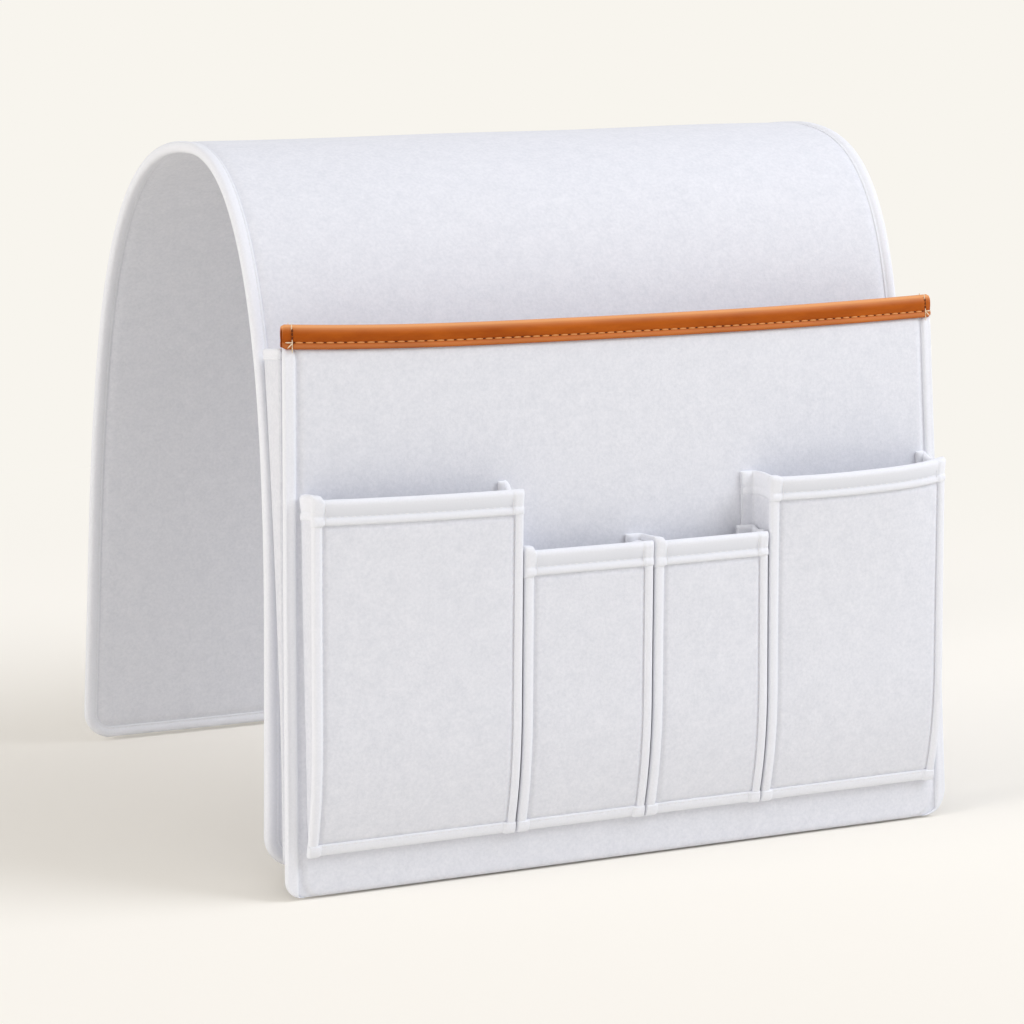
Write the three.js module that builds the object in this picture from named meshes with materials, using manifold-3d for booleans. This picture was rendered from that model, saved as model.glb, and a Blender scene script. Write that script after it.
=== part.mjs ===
// Sofa armrest caddy: a felt saddle that hangs over a sofa arm, with one large pocket on its
// front leg and a row of four pleated pockets sewn on that pocket's panel.
// Millimetres, +Z up, front towards -Y, standing on its two lower edges.
import * as THREE from "three";
import { mergeVertices } from "three/addons/utils/BufferGeometryUtils.js";
import Module from "manifold-3d";

const wasm = await Module();
wasm.setup();

// Driving dimensions of the saddle
const saddleWidth = 330;
const sideFlare = 4; // how much further each side runs out at the floor than at the mouth
const saddleFelt = 3.1;
const crownHeight = 320; // middle of the sheet at its highest
const crownSetback = 110; // from the front leg back to the crown
const footSpread = 283; // from the front leg back to the rear foot
const frontLegDrop = 4; // how far the front leg stops above the floor
const frontLegStraight = 105; // the front leg's upright stretch
const frontRise = 126; // pull of the front leg on the front shoulder
const frontCrownPull = 79;
const rearCrownPull = 151;
const rearLegPull = 151;
const rearLegSplay = 21; // how far the rear leg's pull point stands in from the foot
const saddleCorner = 15;
const crownSlit = 0.9; // left between the two halves, where the crown bends
const crownLevel = 2; // of the level stretch beside the slit

// Driving dimensions of the panel and its large pocket
const mouthHeight = 251;
const panelLean = 15.3; // how far the mouth stands back from the panel's lower edge
const panelFelt = 3.1;
const panelCorner = 8;
const mainPocketDepth = 26; // at the lower edge
const bottomStripHeight = 11;
const bottomStripFelt = 2.5;
const trimHeight = 10.2;
const trimLeather = 1.1;
const sideGussetFelt = 1.6;
const sideGussetTopInset = 2.5; // of the seam on the saddle, from the saddle's edge
const sideGussetFootInset = 8.3;
const sideGussetFrontInset = 1;
const sideHemHeight = 4;
const sideHemThickness = 2.8;

// Driving dimensions of the bound edges
const bindingTape = 0.5;
const seamGap = 0.3; // between a sheet and the tape that binds it
const bindingBand = 5.5;
const panelBand = 6;

// Driving dimensions of the pleated pockets. The tall ones fill the row out to its margins
const rowMarginLeft = 7.4;
const rowMarginRight = 7.2;
const rowHeight = 18; // of the pockets' lower edge above the floor
const shortSeamOffset = 4; // of the seam between the short pockets, from the panel's middle
const leftShortWidth = 63.4;
const rightShortWidth = 59;
const shortHeight = 129;
const leftTallHeight = 158;
const rightTallHeight = 157;
const pocketFelt = 1.8;
const pocketTape = 0.4;
const bellyHeight = 57; // of the curved lower stretch
const bellyDepth = 12.5; // from the panel's felt, where the curved stretch ends
const bellyPull = 0.45; // of the belly's height, where its curve turns
const frontSlope = 0.043; // of the flat upper stretch, away from the panel
const topBand = 11.8;
const capTape = 0.65;
const finBand = 5.6;
const hemBand = 5;
const pocketClearance = 0.3; // between the caps of two neighbours
const finSetIn = 0.4; // of the fins from the pocket's limits
const gussetFelt = 1.5;
const gussetSetIn = 1.2;
const gussetCap = 2.3;
const seamToLeft = 4.3; // of a pleat's seam, from the limit between two pockets
const seamToRight = 3;
const seamFelt = 1.2;
const pleatRoom = 1.8; // between a seam and the fins in front of its lower end

const curveSteps = 16;
const bellySteps = 8;
const cornerSteps = 5;
const overcut = 1; // by which a cutting body runs past what it cuts

// Sizes that follow from the driving dimensions
const halfWidth = saddleWidth / 2;
const hideEdge = bindingTape + seamGap;
const saddleThickness = saddleFelt + 2 * hideEdge;
const panelThickness = panelFelt + 2 * hideEdge;
const panelMiddle = panelThickness / 2;
const panelFace = panelMiddle - panelFelt / 2;
const panelRear = panelMiddle + panelFelt / 2;
const pocketThickness = pocketFelt + 2 * (pocketTape + seamGap);
const frontLegY = panelThickness - panelLean + mainPocketDepth + saddleThickness / 2;
const crownY = frontLegY + crownSetback;
const rearFootY = frontLegY + footSpread;

function toSolid(geometry) {
  const plain = geometry.clone();
  plain.deleteAttribute("normal");
  plain.deleteAttribute("uv");
  const merged = mergeVertices(plain, 1e-4);
  const vertProperties = new Float32Array(merged.attributes.position.array);
  const triVerts = new Uint32Array(merged.index.array);
  return new wasm.Manifold(new wasm.Mesh({ numProp: 3, vertProperties, triVerts }));
}

function toGeometry(solid) {
  const mesh = solid.getMesh();
  const geometry = new THREE.BufferGeometry();
  geometry.setAttribute("position", new THREE.BufferAttribute(new Float32Array(mesh.vertProperties), 3));
  geometry.setIndex(new THREE.BufferAttribute(new Uint32Array(mesh.triVerts), 1));
  return geometry;
}

// An outline of [y, z] points, carried along X
function alongX(outline, x0, x1) {
  const shape = new THREE.Shape(outline.map(([y, z]) => new THREE.Vector2(y, z)));
  const geometry = new THREE.ExtrudeGeometry(shape, { depth: x1 - x0, bevelEnabled: false });
  const turn = new THREE.Matrix4().makeBasis(
    new THREE.Vector3(0, 1, 0),
    new THREE.Vector3(0, 0, 1),
    new THREE.Vector3(1, 0, 0),
  );
  return geometry.applyMatrix4(turn).translate(x0, 0, 0);
}

// A shape drawn in X and Z, carried along Y
function alongY(shape, y0, y1) {
  const options = { depth: y1 - y0, bevelEnabled: false, curveSegments: cornerSteps };
  const geometry = new THREE.ExtrudeGeometry(shape, options);
  const turn = new THREE.Matrix4().makeBasis(
    new THREE.Vector3(1, 0, 0),
    new THREE.Vector3(0, 0, 1),
    new THREE.Vector3(0, -1, 0),
  );
  return geometry.applyMatrix4(turn).translate(0, y1, 0);
}

function boxBetween(low, high) {
  const size = new THREE.Vector3().subVectors(high, low);
  const centre = new THREE.Vector3().addVectors(high, low).multiplyScalar(0.5);
  return new THREE.BoxGeometry(size.x, size.y, size.z).translate(centre.x, centre.y, centre.z);
}

// A closed body through sections that have the same number of corners, lowest section first,
// each running anticlockwise seen from above
function loft(sections) {
  const count = sections[0].length;
  const positions = sections.flat().flatMap((point) => [point.x, point.y, point.z]);
  const index = [];
  for (let level = 0; level + 1 < sections.length; level += 1) {
    for (let corner = 0; corner < count; corner += 1) {
      const a = level * count + corner;
      const b = level * count + ((corner + 1) % count);
      index.push(a, b, b + count, a, b + count, a + count);
    }
  }
  const top = (sections.length - 1) * count;
  for (let corner = 1; corner + 1 < count; corner += 1) {
    index.push(0, corner + 1, corner);
    index.push(top, top + corner, top + corner + 1);
  }
  const geometry = new THREE.BufferGeometry();
  geometry.setAttribute("position", new THREE.Float32BufferAttribute(positions, 3));
  geometry.setIndex(index);
  return geometry;
}

// Points of a line moved sideways by a distance, to the left of its run
function offsetLine(points, distance) {
  return points.map((point, index) => {
    const before = points[Math.max(index - 1, 0)];
    const after = points[Math.min(index + 1, points.length - 1)];
    const arriving = new THREE.Vector2().subVectors(point, before).normalize();
    const leaving = new THREE.Vector2().subVectors(after, point).normalize();
    const run = new THREE.Vector2().addVectors(arriving, leaving).normalize();
    const single = index === 0 ? leaving : arriving;
    const side = new THREE.Vector2(-run.y, run.x);
    const stretch = distance / run.dot(single);
    return new THREE.Vector2(point.x + side.x * stretch, point.y + side.y * stretch);
  });
}

// The stretch of a line between two lengths measured along it
function stretchOf(points, from, to) {
  const kept = [];
  let walked = 0;
  for (let index = 0; index + 1 < points.length; index += 1) {
    const start = points[index];
    const end = points[index + 1];
    const length = start.distanceTo(end);
    for (const cut of [from, to]) {
      if (cut > walked && cut < walked + length) {
        kept.push({ at: cut, point: start.clone().lerp(end, (cut - walked) / length) });
      }
    }
    if (walked >= from && walked <= to) kept.push({ at: walked, point: start });
    walked += length;
  }
  if (walked <= to) kept.push({ at: walked, point: points[points.length - 1] });
  return kept.sort((a, b) => a.at - b.at).map((entry) => entry.point);
}

function lengthOf(points) {
  return points.slice(1).reduce((sum, point, index) => sum + point.distanceTo(points[index]), 0);
}

// A sheet that follows a line in Y and Z, between two distances to the line's left
function sheetAlong(points, near, far, x0, x1) {
  const one = offsetLine(points, near).map((point) => [point.x, point.y]);
  const other = offsetLine(points, far).map((point) => [point.x, point.y]);
  const outline = [...one, ...other.reverse()];
  return toSolid(alongX(outline, x0, x1));
}

// The distance along Y at which a line reaches a height
function reachAt(points, height) {
  for (let index = 0; index + 1 < points.length; index += 1) {
    const low = points[index];
    const high = points[index + 1];
    if (height <= high.y) return low.x + ((height - low.y) * (high.x - low.x)) / (high.y - low.y);
  }
  return points[points.length - 1].x;
}

// The whole caddy spreads a little towards the floor, and the panel's pieces lean with it
function settle(geometry, lean) {
  const position = geometry.attributes.position;
  for (let index = 0; index < position.count; index += 1) {
    const fall = 1 - position.getZ(index) / mouthHeight;
    position.setX(index, position.getX(index) * (1 + (sideFlare / halfWidth) * fall));
    position.setY(index, position.getY(index) - lean * fall);
  }
  geometry.computeVertexNormals();
  return geometry;
}

const finishes = {
  felt: { color: 0xe4e5ea, roughness: 0.95, metalness: 0 },
  tape: { color: 0xf3f4f7, roughness: 0.8, metalness: 0 },
  leather: { color: 0xb9641f, roughness: 0.5, metalness: 0 },
};

const caddy = new THREE.Group();

function addPiece(name, geometry, finish, lean = 0) {
  const mesh = new THREE.Mesh(settle(geometry, lean), new THREE.MeshStandardMaterial(finishes[finish]));
  mesh.name = name;
  caddy.add(mesh);
}

function addPanelPiece(name, geometry, finish) {
  addPiece(name, geometry, finish, panelLean);
}

// Side view of the saddle, as the middle line of its sheet: up the front leg to the crown
function frontHalfLine() {
  const shoulderZ = frontLegDrop + frontLegStraight;
  const shoulder = new THREE.CubicBezierCurve(
    new THREE.Vector2(frontLegY, shoulderZ),
    new THREE.Vector2(frontLegY, shoulderZ + frontRise),
    new THREE.Vector2(crownY - frontCrownPull, crownHeight),
    new THREE.Vector2(crownY - crownLevel, crownHeight),
  );
  const below = new THREE.Vector2(frontLegY, frontLegDrop - overcut);
  return [below, ...shoulder.getPoints(curveSteps), new THREE.Vector2(crownY, crownHeight)];
}

// The same from the rear foot up to the crown. Both lines begin below the lower edge that trims them
function rearHalfLine() {
  const foot = new THREE.Vector2(rearFootY, 0);
  const pull = new THREE.Vector2(rearFootY - rearLegSplay, rearLegPull);
  const crown = new THREE.Vector2(crownY, crownHeight);
  const crownEdge = new THREE.Vector2(crownY + crownLevel, crownHeight);
  const crownSide = new THREE.Vector2(crownY + rearCrownPull, crownHeight);
  const leg = new THREE.CubicBezierCurve(foot, pull, crownSide, crownEdge);
  const below = foot.clone().add(foot.clone().sub(pull).setLength(saddleThickness));
  return [below, ...leg.getPoints(curveSteps), crown];
}

// A leg seen from the front: straight sides and a lower edge with round corners
function legOutline(half, low, high, corner) {
  const shape = new THREE.Shape();
  shape.moveTo(half, high);
  shape.lineTo(-half, high);
  shape.lineTo(-half, low + corner);
  shape.absarc(-half + corner, low + corner, corner, Math.PI, 1.5 * Math.PI);
  shape.absarc(half - corner, low + corner, corner, 1.5 * Math.PI, 2 * Math.PI);
  return shape;
}

const fullHeight = crownHeight + saddleThickness;

// One half of the saddle, trimmed to its outline set in by a margin
function saddleSolid(line, inset, thickness, low) {
  const outline = legOutline(halfWidth - inset, low + inset, fullHeight, saddleCorner - inset);
  const trimmer = toSolid(alongY(outline, frontLegY - fullHeight, rearFootY + fullHeight));
  const wide = halfWidth + overcut;
  return sheetAlong(line, -thickness / 2, thickness / 2, -wide, wide).intersect(trimmer);
}

// The tape that binds a half's edges, cut into its lower run and its two sides
function addSaddleHalf(name, fullLine, low) {
  const line = stretchOf(fullLine, 0, lengthOf(fullLine) - crownSlit / 2);
  addPiece(`${name}_felt`, toGeometry(saddleSolid(line, hideEdge, saddleFelt, low)), "felt");
  const tape = saddleSolid(line, 0, saddleThickness, low)
    .subtract(saddleSolid(fullLine, bindingBand, saddleThickness + overcut, low))
    .subtract(saddleSolid(fullLine, bindingTape, saddleFelt + 2 * seamGap, low));
  const splitZ = low + saddleCorner + seamGap;
  const near = frontLegY - fullHeight;
  const far = rearFootY + fullHeight;
  const cut = (x0, x1, z0, z1) =>
    tape.intersect(toSolid(boxBetween(new THREE.Vector3(x0, near, z0), new THREE.Vector3(x1, far, z1))));
  const wide = halfWidth + overcut;
  const lower = cut(-wide, wide, low - overcut, splitZ - seamGap);
  const left = cut(-wide, 0, splitZ, fullHeight);
  const right = cut(0, wide, splitZ, fullHeight);
  addPiece(`${name}_binding_lower`, toGeometry(lower), "tape");
  addPiece(`${name}_binding_left`, toGeometry(left), "tape");
  addPiece(`${name}_binding_right`, toGeometry(right), "tape");
}

const frontLine = frontHalfLine();
addSaddleHalf("saddle_front", frontLine, frontLegDrop);
addSaddleHalf("saddle_rear", rearHalfLine(), 0);

// The panel, its bound sides and the leather folded over its mouth
const tapeTop = mouthHeight - trimHeight - seamGap;

function addPanel() {
  const feltTop = mouthHeight - trimLeather - seamGap;
  const roundPart = legOutline(halfWidth - hideEdge, hideEdge, feltTop, panelCorner - hideEdge);
  const middleHalf = halfWidth - panelBand - seamGap;
  const middlePart = boxBetween(
    new THREE.Vector3(-middleHalf, panelFace, 0),
    new THREE.Vector3(middleHalf, panelRear, feltTop),
  );
  const felt = toSolid(alongY(roundPart, panelFace, panelRear)).add(toSolid(middlePart));
  addPanelPiece("panel_felt", toGeometry(felt), "felt");

  const edge = toSolid(alongY(legOutline(halfWidth, 0, tapeTop, panelCorner), 0, panelThickness));
  const slotOutline = legOutline(halfWidth - bindingTape, bindingTape, mouthHeight, panelCorner - bindingTape);
  const slot = toSolid(alongY(slotOutline, panelFace - seamGap, panelRear + seamGap));
  const tape = edge.subtract(slot);
  const inner = halfWidth - panelBand;
  for (const [side, sign] of [["left", -1], ["right", 1]]) {
    const x0 = Math.min(sign * inner, sign * (halfWidth + overcut));
    const x1 = Math.max(sign * inner, sign * (halfWidth + overcut));
    const keep = boxBetween(
      new THREE.Vector3(x0, -overcut, -overcut),
      new THREE.Vector3(x1, panelThickness + overcut, mouthHeight),
    );
    addPanelPiece(`panel_binding_${side}`, toGeometry(tape.intersect(toSolid(keep))), "tape");
  }

  const slotHalf = panelFelt / 2 + seamGap;
  const trimHalf = slotHalf + trimLeather;
  const trimLow = mouthHeight - trimHeight;
  const fold = [
    [panelMiddle - trimHalf, trimLow],
    [panelMiddle - slotHalf, trimLow],
    [panelMiddle - slotHalf, mouthHeight - trimLeather],
    [panelMiddle + slotHalf, mouthHeight - trimLeather],
    [panelMiddle + slotHalf, trimLow],
    [panelMiddle + trimHalf, trimLow],
    [panelMiddle + trimHalf, mouthHeight],
    [panelMiddle - trimHalf, mouthHeight],
  ];
  addPanelPiece("mouth_leather_trim", alongX(fold, -halfWidth, halfWidth), "leather");
}

addPanel();

// Side gussets and bottom of the large pocket, between the panel's back and the front leg
const legFace = offsetLine(frontLine, saddleThickness / 2);
const leanAt = (z) => panelLean * (1 - z / mouthHeight);

function sideGussetSection(sign, z, thickness, inset) {
  const rise = (z - bottomStripHeight) / (tapeTop - bottomStripHeight);
  const seamInset = sideGussetFootInset + (sideGussetTopInset - sideGussetFootInset) * rise;
  const front = new THREE.Vector3(halfWidth - sideGussetFrontInset, panelThickness - leanAt(z) + seamGap + inset, z);
  const rear = new THREE.Vector3(halfWidth - seamInset, reachAt(legFace, z) - seamGap - inset, z);
  const inward = new THREE.Vector3(-thickness, 0, 0);
  const corners = [front, rear, rear.clone().add(inward), front.clone().add(inward)];
  if (sign > 0) return corners;
  return corners.map((corner) => new THREE.Vector3(-corner.x, corner.y, corner.z)).reverse();
}

function addMainPocket() {
  const hemLow = tapeTop - sideHemHeight;
  const gussetLow = bottomStripHeight + bottomStripFelt + seamGap;
  const levels = [];
  for (let step = 0; step <= curveSteps; step += 1) {
    levels.push(gussetLow + ((hemLow - seamGap - gussetLow) * step) / curveSteps);
  }
  const extra = (sideHemThickness - sideGussetFelt) / 2;
  for (const [side, sign] of [["left", -1], ["right", 1]]) {
    const gusset = loft(levels.map((z) => sideGussetSection(sign, z, sideGussetFelt, 0)));
    addPiece(`main_gusset_${side}`, gusset, "tape");
    const hem = loft([hemLow, tapeTop].map((z) => sideGussetSection(sign, z, sideHemThickness, seamGap)));
    addPiece(`main_gusset_hem_${side}`, hem.translate(sign * extra, 0, 0), "tape");
  }
  const stripTop = bottomStripHeight + bottomStripFelt;
  const stripHalf = halfWidth - sideGussetFootInset;
  const outline = [
    [panelRear - leanAt(bottomStripHeight) + seamGap, bottomStripHeight],
    [frontLegY - saddleThickness / 2 - seamGap, bottomStripHeight],
    [frontLegY - saddleThickness / 2 - seamGap, stripTop],
    [panelRear - leanAt(stripTop) + seamGap, stripTop],
  ];
  addPiece("main_pocket_bottom", alongX(outline, -stripHalf, stripHalf), "felt");
}

addMainPocket();

// Side view of a pocket's front as the middle line of its sheet, from the hem up to a height
function pocketLine(height) {
  const start = new THREE.Vector2(panelFace - seamGap - pocketThickness / 2, rowHeight);
  const turnHeight = bellyHeight * bellyPull;
  const turnDepth = bellyDepth - frontSlope * (bellyHeight - turnHeight);
  const belly = new THREE.QuadraticBezierCurve(
    start,
    new THREE.Vector2(panelFace - turnDepth, rowHeight + turnHeight),
    new THREE.Vector2(panelFace - bellyDepth, rowHeight + bellyHeight),
  );
  const mouth = new THREE.Vector2(
    panelFace - bellyDepth - frontSlope * (height - bellyHeight),
    rowHeight + height,
  );
  return [...belly.getPoints(bellySteps), mouth];
}

// The front of a pocket: its felt and the tape that binds its top, its sides and its hem
function addPocketFront(name, left, right, height) {
  const line = pocketLine(height);
  const length = lengthOf(line);
  const half = pocketThickness / 2;
  const hidden = pocketTape + seamGap;
  const slotHalf = pocketFelt / 2 + seamGap;
  const x0 = left + finSetIn;
  const x1 = right - finSetIn;
  const sheet = (from, to, reach, a, b) => sheetAlong(stretchOf(line, from, to), -reach, reach, a, b);

  const felt = sheet(hidden, length - hidden, pocketFelt / 2, x0 + hidden, x1 - hidden);
  addPanelPiece(`${name}_front`, toGeometry(felt), "felt");

  const bandLow = length - topBand;
  const capHalf = slotHalf + capTape;
  const capSlot = sheet(bandLow - overcut, length - pocketTape, slotHalf, x0 + pocketTape, x1 - pocketTape);
  const cap = sheet(bandLow, length, capHalf, left + pocketClearance / 2, right - pocketClearance / 2);
  addPanelPiece(`${name}_top_band`, toGeometry(cap.subtract(capSlot)), "tape");

  const hemSlot = sheet(pocketTape, hemBand + overcut, slotHalf, x0 + pocketTape, x1 - pocketTape);
  addPanelPiece(`${name}_hem`, toGeometry(sheet(0, hemBand, half, x0, x1).subtract(hemSlot)), "tape");

  const finLow = hemBand + seamGap;
  const finHigh = bandLow - seamGap;
  const finSlot = sheet(hemBand, bandLow, slotHalf, x0 + pocketTape, x1 - pocketTape);
  const leftFin = sheet(finLow, finHigh, half, x0, x0 + finBand).subtract(finSlot);
  const rightFin = sheet(finLow, finHigh, half, x1 - finBand, x1).subtract(finSlot);
  addPanelPiece(`${name}_fin_left`, toGeometry(leftFin), "tape");
  addPanelPiece(`${name}_fin_right`, toGeometry(rightFin), "tape");
}

// The two pleated sides of a pocket, each with a cap over its top
function addPocketSides(name, left, right, height) {
  const back = panelFace - seamFelt - 2 * seamGap;
  const top = rowHeight + height;
  const capLow = top - topBand;
  const reach = capTape + pocketFelt / 2 + 2 * seamGap;
  const face = offsetLine(pocketLine(height), -reach);
  const kept = face.filter((point) => point.x < back - gussetFelt && point.y < capLow - seamGap);
  const high = capLow - seamGap;
  const outline = [
    [back, kept[0].y],
    [back, high],
    [reachAt(face, high), high],
    ...kept.reverse().map((point) => [point.x, point.y]),
  ];
  const capOutline = [
    [back, capLow],
    [back, top],
    [reachAt(face, top) + seamGap, top],
    [reachAt(face, capLow) + seamGap, capLow],
  ];
  const extra = (gussetCap - gussetFelt) / 2;
  const leftX = left + gussetSetIn;
  const rightX = right - gussetSetIn - gussetFelt;
  for (const [side, x] of [["left", leftX], ["right", rightX]]) {
    addPanelPiece(`${name}_gusset_${side}`, alongX(outline, x, x + gussetFelt), "tape");
    const cap = alongX(capOutline, x - extra, x + gussetFelt + extra);
    addPanelPiece(`${name}_gusset_cap_${side}`, cap, "tape");
  }
}

// A seam where the pleats are sewn down on the panel
function addPleatSeam(name, x0, x1, height) {
  const line = pocketLine(height);
  const inner = offsetLine(line, -pocketThickness / 2);
  const near = panelFace - seamGap - seamFelt;
  const start = inner.find((point) => point.x < near - pleatRoom);
  const seam = boxBetween(
    new THREE.Vector3(x0, near, start.y),
    new THREE.Vector3(x1, panelFace - seamGap, rowHeight + height),
  );
  addPanelPiece(name, seam, "tape");
}

function addPocketRow() {
  const limits = [
    rowMarginLeft - halfWidth,
    shortSeamOffset - leftShortWidth,
    shortSeamOffset,
    shortSeamOffset + rightShortWidth,
    halfWidth - rowMarginRight,
  ];
  const names = ["left_tall_pocket", "left_short_pocket", "right_short_pocket", "right_tall_pocket"];
  const heights = [leftTallHeight, shortHeight, shortHeight, rightTallHeight];
  names.forEach((name, index) => {
    addPocketFront(name, limits[index], limits[index + 1], heights[index]);
    addPocketSides(name, limits[index], limits[index + 1], heights[index]);
  });
  limits.forEach((limit, index) => {
    const before = heights[index - 1];
    const after = heights[index];
    const height = Math.max(before ?? 0, after ?? 0);
    const x0 = before ? limit - seamToLeft : limit;
    const x1 = after ? limit + seamToRight : limit;
    addPleatSeam(`pleat_seam_${index + 1}`, x0, x1, height);
  });
}

addPocketRow();

// The origin is on the floor, under the middle of the caddy
const extent = new THREE.Box3().setFromObject(caddy);
caddy.position.y = -(extent.min.y + extent.max.y) / 2;
caddy.updateMatrixWorld(true);

export default caddy;
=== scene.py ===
import bisect
import math

import bpy
from mathutils import Matrix, Vector, noise
from mathutils.geometry import interpolate_bezier


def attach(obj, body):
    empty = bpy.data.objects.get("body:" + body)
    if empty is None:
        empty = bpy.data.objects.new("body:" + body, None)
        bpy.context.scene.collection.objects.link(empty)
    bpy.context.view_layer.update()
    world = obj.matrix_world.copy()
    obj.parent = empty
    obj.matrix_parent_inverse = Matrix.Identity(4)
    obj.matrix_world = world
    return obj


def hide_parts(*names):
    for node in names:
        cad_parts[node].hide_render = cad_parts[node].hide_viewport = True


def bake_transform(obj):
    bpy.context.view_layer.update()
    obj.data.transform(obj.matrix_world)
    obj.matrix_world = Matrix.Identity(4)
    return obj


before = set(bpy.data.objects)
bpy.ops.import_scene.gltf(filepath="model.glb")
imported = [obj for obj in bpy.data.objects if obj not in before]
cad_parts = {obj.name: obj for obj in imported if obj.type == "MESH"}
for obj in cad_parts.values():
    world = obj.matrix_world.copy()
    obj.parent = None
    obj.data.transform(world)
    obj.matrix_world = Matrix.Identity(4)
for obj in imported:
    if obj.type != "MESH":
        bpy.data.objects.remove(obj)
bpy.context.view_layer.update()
mm = 0.001
caddy = {"half": 165, "mouth": 251}  # half the width of the cloth and the height of the mouth, in mm


def paint(hexText):
    channels = [int(hexText[at:at + 2], 16) / 255 for at in (1, 3, 5)]
    linear = [c / 12.92 if c <= 0.04045 else ((c + 0.055) / 1.055) ** 2.4 for c in channels]
    return (*linear, 1)


def addNode(tree, kind, values=None, links=None):
    node = tree.nodes.new(kind)
    for key, value in (values or {}).items():
        if isinstance(key, int) or key in node.inputs:
            node.inputs[key].default_value = value
        else:
            setattr(node, key, value)
    for key, source in (links or {}).items():
        tree.links.new(source, node.inputs[key])
    return node


def newMaterial(name):
    material = bpy.data.materials.new(name)
    material.use_nodes = True
    material.node_tree.nodes.clear()
    return material


def ease(t):
    t = min(max(t, 0), 1)
    return t * t * (3 - 2 * t)


def mix(a, b, t):
    return a + (b - a) * t


def spread(low, high, step, edge=()):
    # Places of the cuts from low to high, with the extra ones of edge at both ends.
    near = edge[-1] if edge else 0
    count = max(1, round((high - low - 2 * near) / step))
    middle = [low + near + (high - low - 2 * near) * k / count for k in range(count + 1)]
    return [low + e for e in edge[:-1]] + middle + [high - e for e in reversed(edge[:-1])]


def cutSheet(name, across, along, lay, thickness, share, closed=False, paintedShade=None):
    # A sheet or strip of cloth: a grid carried to its place, then given its thickness.
    # Where shade is painted on it, its colour is darker.
    bpy.ops.object.select_all(action="DESELECT")
    bpy.ops.mesh.primitive_grid_add(x_subdivisions=len(across) - 1, y_subdivisions=len(along) - 1)
    piece = bpy.context.object
    piece.name = name
    piece.data.name = name
    body = piece.vertex_groups.new(name="body")
    for index, vertex in enumerate(piece.data.vertices):
        u = across[index % len(across)]
        v = along[index // len(across)]
        vertex.co = lay(u, v) * mm
        body.add([index], share(u, v), "REPLACE")
    if paintedShade:
        dull = piece.data.attributes.new("paintedShade", "FLOAT", "POINT")
        for index in range(len(piece.data.vertices)):
            dull.data[index].value = paintedShade(across[index % len(across)], along[index // len(across)])
    if closed:
        bpy.ops.object.mode_set(mode="EDIT")
        bpy.ops.mesh.select_all(action="SELECT")
        bpy.ops.mesh.remove_doubles(threshold=0.01 * mm)
        bpy.ops.object.mode_set(mode="OBJECT")
    thicken = piece.modifiers.new("thicken", "SOLIDIFY")
    thicken.thickness = thickness * mm
    thicken.offset = 0
    thicken.vertex_group = "body"
    thicken.thickness_vertex_group = 0
    bpy.ops.object.modifier_apply(modifier="thicken")
    bpy.ops.object.mode_set(mode="EDIT")
    bpy.ops.mesh.select_all(action="SELECT")
    bpy.ops.mesh.normals_make_consistent(inside=False)
    bpy.ops.object.mode_set(mode="OBJECT")
    bpy.ops.object.shade_smooth()
    return piece


def seamPath(corners, radius, step, closed=False):
    # Places along an edge with rounded corners, each with the direction into the cloth.
    stations = []
    count = len(corners)
    for i in range(count if closed else count - 1):
        here = Vector(corners[i])
        there = Vector(corners[(i + 1) % count])
        heading = (there - here).normalized()
        inward = Vector((-heading.y, heading.x))
        run = (there - here).length - radius - radius
        pieces = max(1, round(run / step))
        for k in range(pieces + 1):
            stations.append((here + heading * (radius + run * k / pieces), inward))
        if not radius:
            continue
        pivot = there - heading * radius + inward * radius
        turns = max(2, round(radius * math.pi / 2 / min(step, 2.5)))
        for k in range(1, turns):
            angle = math.pi / 2 * k / turns
            side = inward * math.cos(angle) - heading * math.sin(angle)
            stations.append((pivot - side * radius, side))
    return stations


def bindEdge(name, stations, band, onCloth, closed=False):
    # A tape folded over an edge. Its profile gives the share of the thickness at each inset.
    def lay(inset, k):
        place, inward = stations[k % len(stations)]
        spot = place + inward * inset
        return onCloth(spot.x, spot.y)

    along = range(len(stations) + (1 if closed else 0))
    profile = band["profile"]
    return cutSheet(
        name, list(profile), along, lay, band["thickness"], lambda inset, k: profile[inset], closed
    )


def nearest(profile, inset):
    return profile[min(profile, key=lambda known: abs(known - inset))]


def makeStitch(size):
    bpy.ops.object.select_all(action="DESELECT")
    bpy.ops.mesh.primitive_uv_sphere_add(segments=6, ring_count=5, radius=0.5)
    stitch = bpy.context.object
    bpy.ops.transform.rotate(value=math.pi / 2, orient_axis="Y", center_override=(0, 0, 0))
    bpy.ops.transform.resize(value=[side * mm for side in size])
    bpy.ops.object.transform_apply(location=True, rotation=True, scale=True)
    bpy.ops.object.shade_smooth()
    return stitch


def sewRow(name, rows, size):
    # One stitch copied to every place of the rows. A place has its point, its heading and its normal.
    pattern = makeStitch(size)
    copies = []
    for point, heading, normal in rows:
        forward = heading.normalized()
        up = (normal - forward * normal.dot(forward)).normalized()
        side = up.cross(forward)
        turn = Matrix((forward, side, up)).transposed().to_4x4()
        copy = pattern.copy()
        copy.data = pattern.data.copy()
        copy.matrix_world = Matrix.Translation(point * mm) @ turn
        bpy.context.collection.objects.link(copy)
        copies.append(copy)
    bpy.data.objects.remove(pattern)
    bpy.ops.object.select_all(action="DESELECT")
    for copy in copies:
        copy.select_set(True)
    bpy.context.view_layer.objects.active = copies[0]
    bpy.ops.object.join()
    bpy.ops.object.transform_apply(location=True, rotation=True, scale=True)
    row = bpy.context.object
    row.name = name
    row.data.name = name
    return row


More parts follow.
